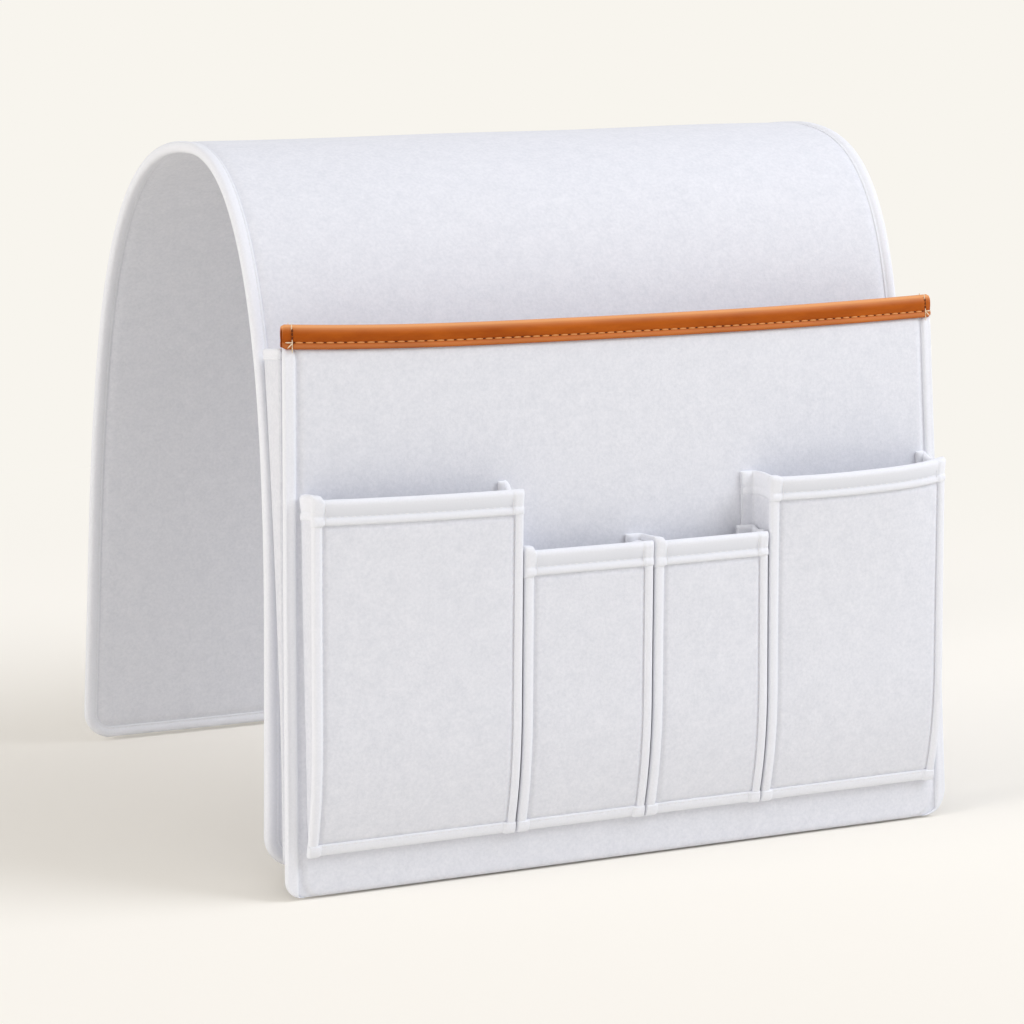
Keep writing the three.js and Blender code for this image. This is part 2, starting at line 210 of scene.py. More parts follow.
def stitchAt(onCloth, spot, heading, off):
    # The place of one stitch, from flat cloth to the object.
    ahead = onCloth(spot.x + heading.x * 0.5, spot.y + heading.y * 0.5, off)
    behind = onCloth(spot.x - heading.x * 0.5, spot.y - heading.y * 0.5, off)
    here = onCloth(spot.x, spot.y, off)
    raised = onCloth(spot.x, spot.y, off + (1 if off > 0 else -1))
    return here, ahead - behind, raised - here


def straightRow(onCloth, start, end, pitch, off):
    start, end = Vector(start), Vector(end)
    count = max(1, round((end - start).length / pitch))
    heading = (end - start).normalized()
    return [
        stitchAt(onCloth, start.lerp(end, (k + 0.5) / count), heading, off) for k in range(count)
    ]


# White pressed felt: matt, faintly blue, with soft clouds of fibre and a short nap.
# The fibres are under 0.05 mm, so the nap is drawn at 0.7 mm to show at all.
feltLook = {"light": "#ECEDF3", "dark": "#DFE1E8", "cloud": 7, "fleck": 1.6, "nap": 0.7, "relief": 0.18}
felt = newMaterial("white_pressed_felt")
tree = felt.node_tree
place = addNode(tree, "ShaderNodeTexCoord").outputs["Object"]
cloud = addNode(
    tree, "ShaderNodeTexNoise",
    {"Scale": 1 / (feltLook["cloud"] * mm), "Detail": 3, "Roughness": 0.6}, {"Vector": place},
)
fleck = addNode(
    tree, "ShaderNodeTexNoise",
    {"Scale": 1 / (feltLook["fleck"] * mm), "Detail": 3, "Roughness": 0.65}, {"Vector": place},
)
nap = addNode(
    tree, "ShaderNodeTexNoise",
    {"Scale": 1 / (feltLook["nap"] * mm), "Detail": 2, "Roughness": 0.6}, {"Vector": place},
)
mottle = addNode(
    tree, "ShaderNodeMix", {"data_type": "FLOAT", 0: 0.65},
    {2: cloud.outputs["Fac"], 3: fleck.outputs["Fac"]},
)
clear = addNode(
    tree, "ShaderNodeMapRange", {"From Min": 0.33, "From Max": 0.67}, {"Value": mottle.outputs[0]}
)
tint = addNode(
    tree, "ShaderNodeMix",
    {"data_type": "RGBA", 6: paint(feltLook["dark"]), 7: paint(feltLook["light"])},
    {0: clear.outputs["Result"]},
)
pile = addNode(
    tree, "ShaderNodeMix", {"data_type": "FLOAT", 0: 0.5},
    {2: nap.outputs["Fac"], 3: fleck.outputs["Fac"]},
)
bump = addNode(
    tree, "ShaderNodeBump", {"Strength": 0.6, "Distance": feltLook["relief"] * mm},
    {"Height": pile.outputs[0]},
)
shader = addNode(
    tree, "ShaderNodeBsdfPrincipled",
    {"Roughness": 0.95, "Specular IOR Level": 0.15, "Sheen Weight": 0.2, "Sheen Roughness": 0.5},
    {"Base Color": tint.outputs[2], "Normal": bump.outputs["Normal"]},
)
addNode(tree, "ShaderNodeOutputMaterial", {}, {"Surface": shader.outputs["BSDF"]})

# White binding tape: a smooth woven ribbon, brighter than the felt, and darker where shade is painted on it.
# Its threads are drawn at 0.9 mm.
tapeLook = {"light": "#F4F5FA", "dark": "#EAECF2", "paintedShade": "#E3E5EB", "thread": 0.9, "relief": 0.06}
tape = newMaterial("white_binding_tape")
tree = tape.node_tree
place = addNode(tree, "ShaderNodeTexCoord").outputs["Object"]
thread = addNode(
    tree, "ShaderNodeTexNoise",
    {"Scale": 1 / (tapeLook["thread"] * mm), "Detail": 1, "Roughness": 0.5}, {"Vector": place},
)
tint = addNode(
    tree, "ShaderNodeMix",
    {"data_type": "RGBA", 6: paint(tapeLook["dark"]), 7: paint(tapeLook["light"])},
    {0: thread.outputs["Fac"]},
)
# Painted shade darkens the band's face.
paintedShade = addNode(tree, "ShaderNodeAttribute", {"attribute_name": "paintedShade"})
tint = addNode(
    tree, "ShaderNodeMix", {"data_type": "RGBA", 7: paint(tapeLook["paintedShade"])},
    {0: paintedShade.outputs["Fac"], 6: tint.outputs[2]},
)
bump = addNode(
    tree, "ShaderNodeBump", {"Strength": 0.4, "Distance": tapeLook["relief"] * mm},
    {"Height": thread.outputs["Fac"]},
)
shader = addNode(
    tree, "ShaderNodeBsdfPrincipled",
    {"Roughness": 0.75, "Specular IOR Level": 0.25, "Sheen Weight": 0.1, "Sheen Roughness": 0.4},
    {"Base Color": tint.outputs[2], "Normal": bump.outputs["Normal"]},
)
addNode(tree, "ShaderNodeOutputMaterial", {}, {"Surface": shader.outputs["BSDF"]})

# Tan leather: waxed, streaked along its length, with a fine pebbled grain, and a highlight painted pale along
# its folds.
leatherLook = {
    "light": "#BC5F11", "dark": "#A24A05", "paintedHighlight": "#F4AE74", "streak": 9, "grain": 0.9, "relief": 0.1
}
leather = newMaterial("tan_leather")
tree = leather.node_tree
place = addNode(tree, "ShaderNodeTexCoord").outputs["Object"]
drawn = addNode(
    tree, "ShaderNodeMapping", {"vector_type": "POINT", "Scale": (0.25, 1, 1)}, {"Vector": place}
)
streak = addNode(
    tree, "ShaderNodeTexNoise",
    {"Scale": 1 / (leatherLook["streak"] * mm), "Detail": 4, "Roughness": 0.6},
    {"Vector": drawn.outputs["Vector"]},
)
grain = addNode(
    tree, "ShaderNodeTexVoronoi",
    {"feature": "SMOOTH_F1", "Scale": 1 / (leatherLook["grain"] * mm)}, {"Vector": place},
)
clear = addNode(
    tree, "ShaderNodeMapRange", {"From Min": 0.33, "From Max": 0.67}, {"Value": streak.outputs["Fac"]}
)
tint = addNode(
    tree, "ShaderNodeMix",
    {"data_type": "RGBA", 6: paint(leatherLook["dark"]), 7: paint(leatherLook["light"])},
    {0: clear.outputs["Result"]},
)
# The paler colour along the fold's crest and lip is a painted highlight.
paintedHighlight = addNode(tree, "ShaderNodeAttribute", {"attribute_name": "paintedHighlight"})
tint = addNode(
    tree, "ShaderNodeMix", {"data_type": "RGBA", 7: paint(leatherLook["paintedHighlight"])},
    {0: paintedHighlight.outputs["Fac"], 6: tint.outputs[2]},
)
bump = addNode(
    tree, "ShaderNodeBump", {"Strength": 0.35, "Distance": leatherLook["relief"] * mm},
    {"Height": grain.outputs["Distance"]},
)
shader = addNode(
    tree, "ShaderNodeBsdfPrincipled",
    {"Roughness": 0.5, "Specular IOR Level": 0.14},
    {"Base Color": tint.outputs[2], "Normal": bump.outputs["Normal"]},
)
addNode(tree, "ShaderNodeOutputMaterial", {}, {"Surface": shader.outputs["BSDF"]})


def threadMaterial(name, light, dark, roughness):
    # Sewing thread: two tones along its twist, drawn at 0.5 mm.
    material = newMaterial(name)
    tree = material.node_tree
    place = addNode(tree, "ShaderNodeTexCoord").outputs["Object"]
    twist = addNode(
        tree, "ShaderNodeTexNoise", {"Scale": 1 / (0.5 * mm), "Detail": 1}, {"Vector": place}
    )
    tint = addNode(
        tree, "ShaderNodeMix", {"data_type": "RGBA", 6: paint(dark), 7: paint(light)},
        {0: twist.outputs["Fac"]},
    )
    shader = addNode(
        tree, "ShaderNodeBsdfPrincipled", {"Roughness": roughness, "Specular IOR Level": 0.3},
        {"Base Color": tint.outputs[2]},
    )
    addNode(tree, "ShaderNodeOutputMaterial", {}, {"Surface": shader.outputs["BSDF"]})
    return material


# White polyester thread on the felt, tan waxed thread on the leather, cream at its end tacks.
whiteThread = threadMaterial("white_thread", "#F4F4F6", "#E2E2E6", 0.6)
tanThread = threadMaterial("tan_waxed_thread", "#E6A566", "#CF8742", 0.5)
creamThread = threadMaterial("cream_thread", "#F6E6CC", "#E6CFA8", 0.5)
# The shade inside the needle holes in the leather, painted as dark brown matt beads.
holeDark = threadMaterial("needle_hole_painted_shade", "#6E3510", "#562508", 0.8)


def dress(piece, material):
    piece.data.materials.clear()
    piece.data.materials.append(material)
    return piece


def flared(x, z, flare):
    # The caddy widens a little towards the floor.
    return x * (1 + flare / caddy["half"] * (1 - z / caddy["mouth"]))


def ripple(u, v, seed, reach):
    # The slight unevenness of hand-laid felt, in waves of 75 by 90 mm.
    return reach * noise.noise(Vector((u / 75, v / 90, seed)))


print("saddle")
saddle = {
    "corner": 15, "flare": 4, "felt": 4.6, "ripple": 0.5, "crown": 320, "rise": (1.3, 5.6),
    "drawn": 0.64, "drawnFrom": 5.8, "drawnOver": 4,
    "rightFull": 8.5, "fullAt": 300, "fullBelow": 60, "fullAbove": 42,
    "foot": (-121.79, 4), "shoulder": (-121.79, 109), "frontPull": (-121.79, 235),
    "frontCrownPull": (-90.79, 320), "frontCrown": (-13.79, 320), "rearCrown": (-9.79, 320),
    "rearCrownPull": (147.21, 320), "rearPull": (141.21, 158), "rearFoot": (161.21, -0.6),
}
saddleRoll = {
    "thickness": 5.4,
    "profile": {
        0: 0.06, 0.12: 0.36, 0.45: 0.64, 1.0: 0.87, 1.8: 0.99, 2.8: 1.0, 3.8: 0.95, 4.6: 0.82,
        5.1: 0.66, 5.5: 0.73, 5.9: 0.74, 6.2: 0.6,
    },
}
frontBend = [saddle[key] for key in ("shoulder", "frontPull", "frontCrownPull", "frontCrown")]
rearBend = [saddle[key] for key in ("rearCrown", "rearCrownPull", "rearPull", "rearFoot")]
saddleLine = [Vector(saddle["foot"]).lerp(Vector(saddle["shoulder"]), k / 20) for k in range(20)]
saddleLine += [Vector(p) for p in interpolate_bezier(*map(Vector, frontBend), 160)]
saddleLine += [Vector(p) for p in interpolate_bezier(*map(Vector, rearBend), 240)]
saddleReach = [0]
for a, b in zip(saddleLine, saddleLine[1:]):
    saddleReach.append(saddleReach[-1] + (b - a).length)
saddleLength = saddleReach[-1]
saddleTurn = []
for k in range(len(saddleLine)):
    before = saddleLine[max(k - 1, 0)]
    after = saddleLine[min(k + 1, len(saddleLine) - 1)]
    saddleTurn.append((after - before).normalized())


def alongSaddle(s):
    k = min(max(bisect.bisect_right(saddleReach, s) - 1, 0), len(saddleLine) - 2)
    t = (s - saddleReach[k]) / (saddleReach[k + 1] - saddleReach[k])
    return saddleLine[k].lerp(saddleLine[k + 1], t), saddleTurn[k].lerp(saddleTurn[k + 1], t)


def onSaddle(x, s, off=0):
    # Flat cloth (across, from the front foot along the sheet, off its middle) to the object, in mm.
    # The right end stands higher and its front shoulder is fuller.
    point, heading = alongSaddle(s)
    across = x / (2 * caddy["half"]) + 0.5
    reach = saddle["fullBelow"] if s < saddle["fullAt"] else saddle["fullAbove"]
    off += saddle["rightFull"] * across ** 2 * math.exp(-((s - saddle["fullAt"]) / reach) ** 2)
    off += ripple(x, s, 1, saddle["ripple"])
    z = point.y + heading.x * off
    z += mix(*saddle["rise"], across) * max(point.y / saddle["crown"], 0) ** 2
    return Vector((flared(x, z, saddle["flare"]), point.x - heading.y * off, z))


def roundedHalf(halfWidth, corner, reach):
    # Half the width of a sheet at a distance from its end with rounded corners.
    if reach >= corner:
        return halfWidth
    return halfWidth - corner + math.sqrt(max(corner ** 2 - (corner - reach) ** 2, 0))


def saddleFeltAt(x, s):
    reach = min(s, saddleLength - s)
    return onSaddle(x * roundedHalf(1, saddle["corner"] / caddy["half"], reach / caddy["half"]), s)


def saddleFeltShare(x, s):
    # The felt is drawn in beside the binding's seam.
    inset = min(caddy["half"] - abs(x), s, saddleLength - s)
    return mix(saddle["drawn"], 1, ease((inset - saddle["drawnFrom"]) / saddle["drawnOver"]))


edgeCuts = (0.4, 2, 4, 5.2, 6, 6.6, 7.3, 8.2, 9.4, 12, 15)
saddleSheet = cutSheet(
    "saddle_sheet",
    spread(-caddy["half"], caddy["half"], 6, edgeCuts), spread(0, saddleLength, 5, edgeCuts),
    saddleFeltAt, saddle["felt"], saddleFeltShare,
)
saddleCorners = [
    (-caddy["half"], 0), (caddy["half"], 0), (caddy["half"], saddleLength), (-caddy["half"], saddleLength)
]
saddleEdge = seamPath(saddleCorners, saddle["corner"], 4, closed=True)
saddleBinding = bindEdge("saddle_binding", saddleEdge, saddleRoll, onSaddle, closed=True)
saddleSeam = {"inset": 5.1, "pitch": 3.6, "off": 1.7, "stitch": (2.5, 0.5, 0.4)}
sewnCorners = [
    (math.copysign(caddy["half"] - saddleSeam["inset"], x), abs(s - saddleSeam["inset"]))
    for x, s in saddleCorners
]
sewnRound = saddle["corner"] - saddleSeam["inset"]
saddleRow = []
for spot, inward in seamPath(sewnCorners, sewnRound, saddleSeam["pitch"], closed=True):
    heading = Vector((inward.y, -inward.x))
    for off in (saddleSeam["off"], -saddleSeam["off"]):
        saddleRow.append(stitchAt(onSaddle, spot, heading, off))
saddleStitching = sewRow("saddle_stitching", saddleRow, saddleSeam["stitch"])

print("panel")
panel = {
    "left": 162.9, "right": 165, "leftSpread": 0.9, "flare": 6.5, "felt": 3.7, "ripple": 0.3,
    "foot": -1.3, "footRound": 2.6, "cornerLeft": 8, "cornerRight": 13, "leatherFrom": 239.5,
    "drawn": 0.4, "drawnFrom": 6, "drawnOver": 3,
    "lean": 15.3, "setBack": -137.19, "bowAt": -40, "bowLeft": 125, "bowRight": 205, "bow": 6, "sag": 2.4,
}
panelTape = {
    "thickness": 4.4, "width": 5.6, "leastWidth": 1.6, "thinFrom": 238, "thinOver": 2,
    "profile": {
        0: 0.06, 0.1: 0.36, 0.35: 0.66, 0.7: 0.86, 1.1: 0.95, 1.6: 0.92, 2.2: 0.9, 2.8: 0.95,
        3.4: 1.0, 4.2: 1.0, 4.8: 0.94, 5.25: 0.8, 5.5: 0.6, 5.6: 0.35,
    },
}


def panelBow(x):
    reach = panel["bowLeft"] if x < panel["bowAt"] else panel["bowRight"]
    return 1 - min(abs((x - panel["bowAt"]) / reach), 1) ** 2.6


def onPanel(x, z, off=0):
    # Flat cloth (across, up, in front of the felt's middle) to the object, in mm.
    share = max(z / caddy["mouth"], 0)
    bow = panelBow(x)
    y = panel["setBack"] - off - panel["lean"] * (1 - share) - panel["bow"] * bow * share ** 1.25
    y -= ripple(x, z, 2, panel["ripple"])
    return Vector((flared(x, z, panel["flare"]), y, z - panel["sag"] * bow * share ** 4))


def panelEdge(side, z):
    # Half the panel's width on one side, with the rounding of its lower corner.
    if side == "right":
        half, corner = panel["right"], panel["cornerRight"]
    else:
        half = panel["left"] + panel["leftSpread"] * (1 - z / caddy["mouth"])
        corner = panel["cornerLeft"]
    return half, roundedHalf(half, corner, z - panel["foot"])


def panelFeltAt(x, z):
    half, outer = panelEdge("right" if x > 0 else "left", z)
    return onPanel(x * outer / half, z)


def footRound(z):
    # The lower edge is rounded.
    reach = min((z - panel["foot"]) / panel["footRound"], 1)
    return mix(0.14, 1, math.sqrt(1 - (1 - reach) ** 2))


def panelFeltShare(x, z):
    # The felt is drawn in by the tapes and lies thin inside the leather.
    inset = min(x + panel["left"], panel["right"] - x)
    drawn = mix(panel["drawn"], 1, ease((inset - panel["drawnFrom"]) / panel["drawnOver"]))
    return drawn * footRound(z) * mix(1, 0.5, ease(z - panel["leatherFrom"]))


footCuts = [panel["foot"] + rise for rise in (0.06, 0.2, 0.5, 1, 1.5, 2, 2.6, 3.4, 4.4, 5.6, 7, 9, 11)]
panelCuts = (0.4, 2, 4, 5, 5.6, 6.2, 6.8, 7.6, 8.6, 10, 12)
mouthCuts = (239.4, 240.6, 243, 246, 249.6)
panelSheet = cutSheet(
    "panel_sheet",
    spread(-panel["left"] + 0.6, panel["right"] - 0.6, 6, panelCuts),
    [panel["foot"], *footCuts, *spread(12, 238, 5), *mouthCuts],
    panelFeltAt, panel["felt"], panelFeltShare,
)


def panelTapeAt(side):
    # A strip down each side whose outer edge goes round the lower corner and whose inner edge is straight.
    turn = -1 if side == "left" else 1

    def lay(inset, z):
        half, outer = panelEdge(side, z)
        width = max(outer - half + panelTape["width"], panelTape["leastWidth"])
        return onPanel(turn * (outer - inset * width / panelTape["width"]), z)
    return lay


def panelTapeShare(inset, z):
    # The tapes end thin inside the leather.
    thin = mix(1, 0.6, ease((z - panelTape["thinFrom"]) / panelTape["thinOver"]))
    return panelTape["profile"][inset] * footRound(z) * thin


panelTapes = {
    side: cutSheet(
        "panel_tape_" + side, list(panelTape["profile"]), footCuts + spread(12, 241, 5), panelTapeAt(side),
        panelTape["thickness"], panelTapeShare,
    )
    for side in ("left", "right")
}

print("mouth leather")
trim = {
    "left": -163.2, "right": 164.9, "middle": 246, "seam": 243.4, "sewnFrom": -158.6, "sewnTo": 159.8,
    "pitch": 4.6, "threadOff": 2.62, "stitch": (3.5, 0.8, 0.55), "hole": (1.5, 0.8, 0.35),
    "tackIn": 3.8, "tackOff": 2.85, "tack": (3.4, 0.55, 0.5), "tackHoles": (245.3, 247, 248.6),
    "round": 1.4, "crease": 0.45, "creaseWidth": 0.7, "pinch": 0.4, "pinchOver": 5.5,
}
# The fold seen from its end: height, distance off the panel's middle and how much painted highlight it has,
# outside then inside.
trimFold = [
    (240.4, 2.45, 0), (240.55, 2.9, 0.05), (241.1, 3.25, 0.2), (241.9, 3.35, 0.25), (242.6, 3.1, 0.18),
    (243.1, 2.6, 0.02), (243.4, 2.4, 0), (243.8, 2.5, 0), (244.6, 2.85, 0), (245.8, 3.2, 0),
    (246.9, 3.35, 0), (247.9, 3.3, 0.04), (248.8, 3.0, 0.15), (249.6, 2.5, 0.42), (250.3, 1.75, 0.85),
    (250.8, 0.9, 0.85), (251.0, 0, 0.6),
]
trimFold += [(z, -off, paintedHighlight) for z, off, paintedHighlight in reversed(trimFold[:-1])]
trimFold += [(z, -1.9, 0) for z in (240.5, 243.4, 248.4)]
trimFold += [(249.4, 0, 0)]
trimFold += [(z, 1.9, 0) for z in (248.4, 243.4, 240.5)]


def trimAt(k, x):
    z, off, paintedHighlight = trimFold[k % len(trimFold)]
    end = min(x - trim["left"], trim["right"] - x)
    rounding = 1 - ease(end / trim["round"])
    crease = trim["crease"] * math.exp(-((end - trim["tackIn"]) / trim["creaseWidth"]) ** 2)
    pinch = trim["pinch"] * (1 - ease(end / trim["pinchOver"]))
    off = off * (1 - 0.2 * rounding) * (1 - pinch) - math.copysign(crease if abs(off) > 2 else 0, off)
    return onPanel(x, mix(z, trim["middle"], 0.12 * rounding), off)


def foldTube(name, fold, stations, at):
    # A closed fold carried along its stations, with its two ends filled and a painted highlight along its
    # crest and lip.
    section = len(fold)
    bpy.ops.object.select_all(action="DESELECT")
    bpy.ops.mesh.primitive_grid_add(x_subdivisions=section, y_subdivisions=len(stations) - 1)
    piece = bpy.context.object
    piece.name = name
    piece.data.name = name
    for index, vertex in enumerate(piece.data.vertices):
        vertex.co = at(index % (section + 1), stations[index // (section + 1)]) * mm
    pale = piece.data.attributes.new("paintedHighlight", "FLOAT", "POINT")
    for index in range(len(piece.data.vertices)):
        pale.data[index].value = fold[index % (section + 1) % section][2]
    bpy.ops.object.mode_set(mode="EDIT")
    bpy.ops.mesh.select_all(action="SELECT")
    bpy.ops.mesh.remove_doubles(threshold=0.01 * mm)
    bpy.ops.mesh.fill_holes(sides=0)
    bpy.ops.mesh.normals_make_consistent(inside=False)
    bpy.ops.object.mode_set(mode="OBJECT")
    bpy.ops.object.shade_smooth_by_angle(angle=math.radians(50))
    return piece


trimCuts = (0, 0.25, 0.6, 1.0, 1.5, 2.6, 3.4, 3.8, 4.2, 4.6, 5, 5.8, 7)
mouthLeather = foldTube(
    "mouth_leather", trimFold, spread(trim["left"], trim["right"], 4, trimCuts), trimAt
)
sewnStart = (trim["sewnFrom"], trim["seam"])
sewnEnd = (trim["sewnTo"], trim["seam"])
leatherRow = []
holeRow = []
for off in (trim["threadOff"], -trim["threadOff"]):
    leatherRow += straightRow(onPanel, sewnStart, sewnEnd, trim["pitch"], off)
    count = round((trim["sewnTo"] - trim["sewnFrom"]) / trim["pitch"])
    for k in range(count + 1):
        spot = Vector(sewnStart).lerp(Vector(sewnEnd), k / count)
        holeRow.append(stitchAt(onPanel, spot, Vector((1, 0)), off * 0.95))
leatherStitching = sewRow("leather_stitching", leatherRow, trim["stitch"])
tackRow = []
for side, at in ((-1, trim["left"] + trim["tackIn"]), (1, trim["right"] - trim["tackIn"])):
    for off in (trim["tackOff"], -trim["tackOff"]):
        for z in trim["tackHoles"]:
            holeRow.append(stitchAt(onPanel, Vector((at, z)), Vector((0, 1)), off))
        tackRow += straightRow(onPanel, (at, 239), (at, 244.6), 3, off)
        tackRow += straightRow(onPanel, (at, 249.4), (at, 250.6), 1.2, off * 0.75)
        tackRow += straightRow(onPanel, (at - side, trim["seam"]), (at + side * 4, trim["seam"]), 5, off)
    tackRow += straightRow(onPanel, (at, 243.2), (at + side * 2.2, 241), 3, 3.2)
# Dark beads paint the shade inside the needle holes.
leatherHoles = sewRow("leather_needle_holes", holeRow, trim["hole"])
leatherTacks = sewRow("leather_end_tacks", tackRow, trim["tack"])

print("large pocket")
# Each side is folded like a bellows: a front leaf that shows, and a rear leaf turned in to the saddle.
largePocket = {
    "low": 13.8, "top": 240.4, "drop": 2.2, "rearDrop": 9, "front": 162.6, "fold": 162.4, "rear": 147,
    "felt": 1.8, "hem": 2.8, "foldAt": 0.6, "leaf": 1.9, "leafGrowth": 18, "leafFrom": 30, "leafOver": 208,
    "sink": 5, "sinkOver": 40, "behindPanel": 2.3, "offSaddle": 2,
}
largeBottom = {"half": 156, "felt": 2.4, "panelRise": 12.2, "saddleRise": 3.2, "clear": 1.9}


def saddleFaceAt(z):
    # How far along the front leg the sheet reaches this height.
    low, high = 0, saddleLength / 2
    for halving in range(24):
        half = (low + high) / 2
        low, high = (half, high) if alongSaddle(half)[0].y < z else (low, half)
    return low


def onLargeSide(side):
    def lay(t, z):
        # t runs from the panel at 0 over the fold to the saddle at 1.
        foldAt = largePocket["foldAt"]
        toFold = min(t / foldAt, 1)
        toSaddle = max(t - foldAt, 0) / (1 - foldAt)
        drop = mix(largePocket["drop"], largePocket["rearDrop"], toSaddle)
        z -= drop * toFold * (z / largePocket["top"]) ** 3
        # At its foot the rear leaf follows the floor strip down to the saddle.
        low = 1 - ease((z - largePocket["low"]) / largePocket["sinkOver"])
        z -= largePocket["sink"] * toSaddle * low
        front = onPanel(side * largePocket["front"], z, -largePocket["behindPanel"])
        opened = max(z - largePocket["leafFrom"], 0) / largePocket["leafOver"]
        leaf = largePocket["leaf"] + largePocket["leafGrowth"] * opened ** 1.7
        fold = front + Vector((0, leaf, 0))
        fold.x = flared(side * largePocket["fold"], z, panel["flare"])
        if t < foldAt:
            return front.lerp(fold, toFold)
        rear = onSaddle(side * largePocket["rear"], saddleFaceAt(z), largePocket["offSaddle"])
        return fold.lerp(rear, toSaddle)
    return lay


sideHem = {0: 0.5, 0.4: 0.85, 1.2: 1, 2.6: 0.97, 3.4: 0.8, 3.8: 0.95, 4.4: 1, 4.8: 0.9, 4.9: 0.6}
sideCuts = [0, 0.1, 0.2, 0.3, 0.4, 0.5, 0.56, 0.6, 0.64, 0.7, 0.8, 0.9, 1]
largeSides = []
for side, name in ((-1, "left"), (1, "right")):
    lay = onLargeSide(side)
    cloth = cutSheet(
        "large_pocket_side_" + name, sideCuts, spread(largePocket["low"], largePocket["top"] - 1, 6), lay,
        largePocket["felt"], lambda t, z: 1,
    )
    hem = cutSheet(
        "large_pocket_hem_" + name, sideCuts, [largePocket["top"] - inset for inset in sideHem], lay,
        largePocket["hem"], lambda t, z: nearest(sideHem, largePocket["top"] - z),
    )
    largeSides.append((cloth, hem))


def largeFloorAt(x, t):
    front = onPanel(x, largeBottom["panelRise"], -largeBottom["clear"])
    rear = onSaddle(x, largeBottom["saddleRise"], largeBottom["clear"])
    return front.lerp(rear, t)


largeFloor = cutSheet(
    "large_pocket_floor", spread(-largeBottom["half"], largeBottom["half"], 12),
    [k / 5 for k in range(6)], largeFloorAt, largeBottom["felt"], lambda x, t: 1,
)

print("small pockets")
# The row's fronts lift off the panel in a curve up to the belly, then straight on.
row = {
    "low": 18, "offPanel": 1.55, "belly": 57, "turn": 25.65,
    "lift": 1.9, "turnLift": 11.15, "fullLift": 12.5, "slope": 0.043,
}
pockets = {
    "left_tall_pocket": {
        "left": -157.6, "right": -59.4, "top": 176, "bow": 1.0, "bowAt": 0.5, "sag": 0, "rise": (1.4, 0.6),
        "taper": (1.9, 0.8), "caught": 1.9,
    },
    "left_short_pocket": {
        "left": -59.4, "right": 4.6, "top": 147, "bow": 0, "bowAt": 0.5, "sag": 0, "rise": (1.3, 1.3),
        "taper": (0.8, 0), "caught": 2.3,
    },
    "right_short_pocket": {
        "left": 4.6, "right": 63.4, "top": 147, "bow": 0, "bowAt": 0.5, "sag": 0, "rise": (0.9, 1.1),
        "taper": (0, 0), "caught": 1.9,
    },
    "right_tall_pocket": {
        "left": 63.4, "right": 158.6, "top": 175, "bow": 5.5, "bowAt": 0.63, "sag": 1, "rise": (-1.5, 1.2),
        "taper": (0, -2.5), "caught": 0.7,
    },
}
finTape = {
    "thickness": 3.9,
    "profile": {
        0: 0.06, 0.1: 0.36, 0.3: 0.62, 0.6: 0.83, 1.0: 0.95, 1.5: 1.0, 2.1: 1.0, 2.7: 0.96, 3.2: 0.87,
        3.6: 0.72, 3.85: 0.52, 3.95: 0.25,
    },
}
finTapes = {
    "left": {**finTape, "profile": {inset * 1.15: share for inset, share in finTape["profile"].items()}},
    "right": finTape,
}
bandTape = {
    "thickness": 4.4, "inset": 0.15, "caughtTo": 3.8, "caughtOver": 2, "footDrop": -0.7,
    "profile": {
        0: 0.08, 0.15: 0.42, 0.5: 0.72, 1.1: 0.92, 1.8: 1.0, 2.6: 0.98, 4.2: 0.88, 6.0: 0.77,
        6.9: 0.70, 7.4: 0.60, 7.8: 0.72, 8.4: 0.87, 9.2: 0.95, 10.2: 0.95, 10.9: 0.82, 11.2: 0.5,
    },
    # How much shade is painted on the band at each inset.
    "paintedShade": {
        0: 0, 1.1: 0, 1.8: 0.1, 2.6: 0.35, 4.2: 0.7, 6.0: 0.95, 7.4: 1, 7.8: 0.7, 8.4: 0.25, 9.2: 0.1,
        10.2: 0.1, 10.9: 0.3, 11.2: 0.6,
    },
}
hemTape = {
    "thickness": 3.4, "inset": 0.3, "standOff": 0.6, "standTo": 4.4, "standOver": 1.6,
    "profile": {
        0: 0.45, 0.25: 0.74, 0.9: 0.93, 2.0: 1.0, 3.2: 0.97, 4.0: 0.9, 4.4: 0.78, 4.8: 0.84, 5.2: 0.66,
    },
}
pocketFelt = {
    "felt": 2.2, "drawnSides": 0.2, "drawnEnds": 0.4, "finLeft": 5.2, "finRight": 4.6, "finOver": 1.8,
    "band": 11.3, "bandOver": 2, "hem": 5.2, "hemOver": 1.6,
}
sleeveEnd = {"fin": 4.6, "finOver": 1.2, "crease": 0.08, "creaseAt": 5.9, "creaseWidth": 0.6}
pocketSeam = {
    "band": 7.4, "bandOff": 1.36, "hem": 4.4, "hemOff": 1.4, "pitch": 3.4, "clear": 6.5,
    "finLeft": 5.1, "finRight": 4.6, "finOff": 0.3, "finPitch": 3.2,
    "tackIn": 6, "tackOff": 1.9, "tackPitch": 1.9, "stitch": (2.1, 0.45, 0.4),
}
fullest = 0.8  # a share stops at 1, so the tapes' shares are scaled down to leave room for their fuller ends


def pocketLift(z):
    rise = z - row["low"]
    if rise > row["belly"]:
        return row["fullLift"] + row["slope"] * (rise - row["belly"])
    first = 2 * row["turn"]
    second = row["belly"] - first
    t = (math.sqrt(first ** 2 + 4 * second * max(rise, -2)) - first) / (2 * second)
    return (1 - t) ** 2 * row["lift"] + 2 * t * (1 - t) * row["turnLift"] + t * t * row["fullLift"]


def tapered(pocket, x, z):
    # The pocket's sides draw together a little towards its foot.
    rise = max(z - row["low"], 0) / (pocket["top"] - row["low"])
    across = (x - pocket["left"]) / (pocket["right"] - pocket["left"])
    return x + mix(*pocket["taper"], across) * max(1 - rise, 0) ** 1.2


